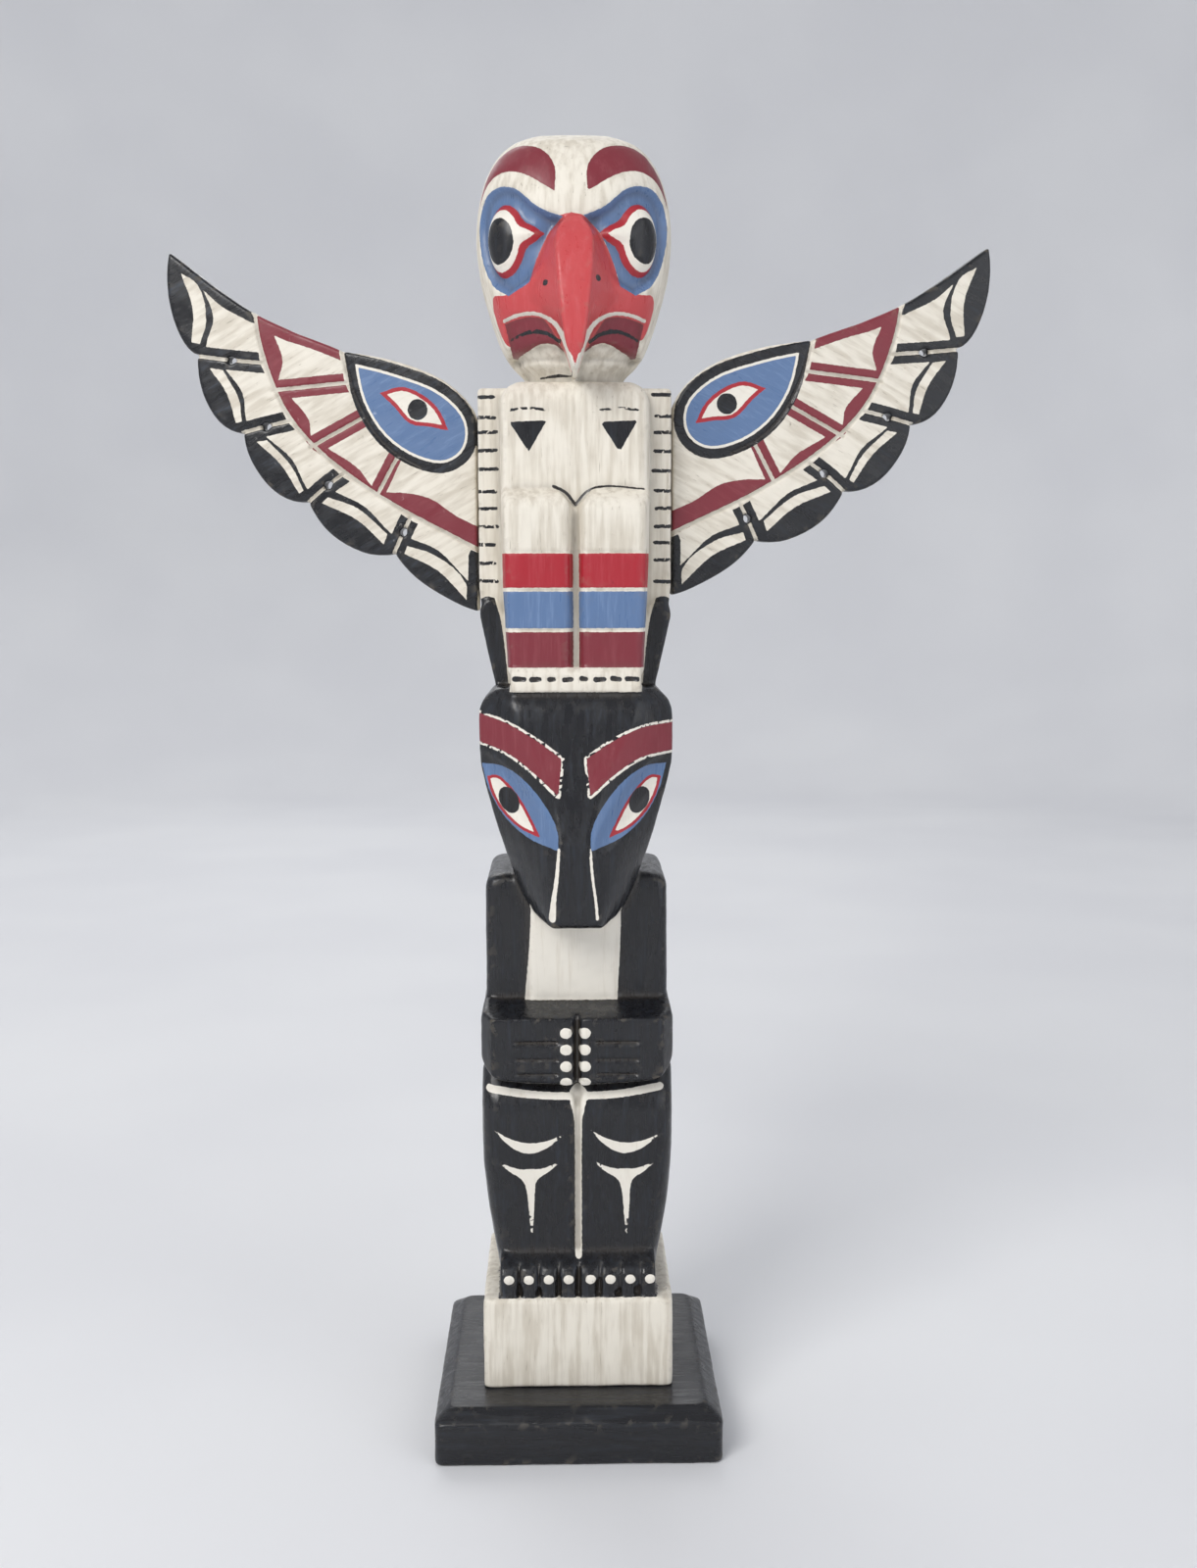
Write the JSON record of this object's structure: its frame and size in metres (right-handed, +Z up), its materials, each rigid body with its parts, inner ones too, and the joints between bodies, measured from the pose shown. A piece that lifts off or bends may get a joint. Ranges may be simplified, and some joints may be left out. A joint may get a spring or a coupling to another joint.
{
  "type": "totem pole",
  "caption": "Carved and painted wooden totem pole: a bird with spread wings above a seated bear, on a square bevelled plinth.",
  "frame": {"origin": "centre of the plinth's underside", "axes": "+Z up, the carved front faces -Y, the pole's own left and right wings spread along X"},
  "size_m": [0.323, 0.11, 0.5],
  "materials": {
    "black_paint": "satin black paint over soft wood, thin at the corners",
    "pole_paint": "painted carved wood: cream, satin black, slate blue, coral and dark red",
    "wing_paint": "painted carved board: cream with black, dark red and blue"
  },
  "bodies": {
    "root": {"base": "black_paint", "pole": "pole_paint", "wing_left": "wing_paint", "wing_right": "wing_paint"}
  },
  "joints": []
}
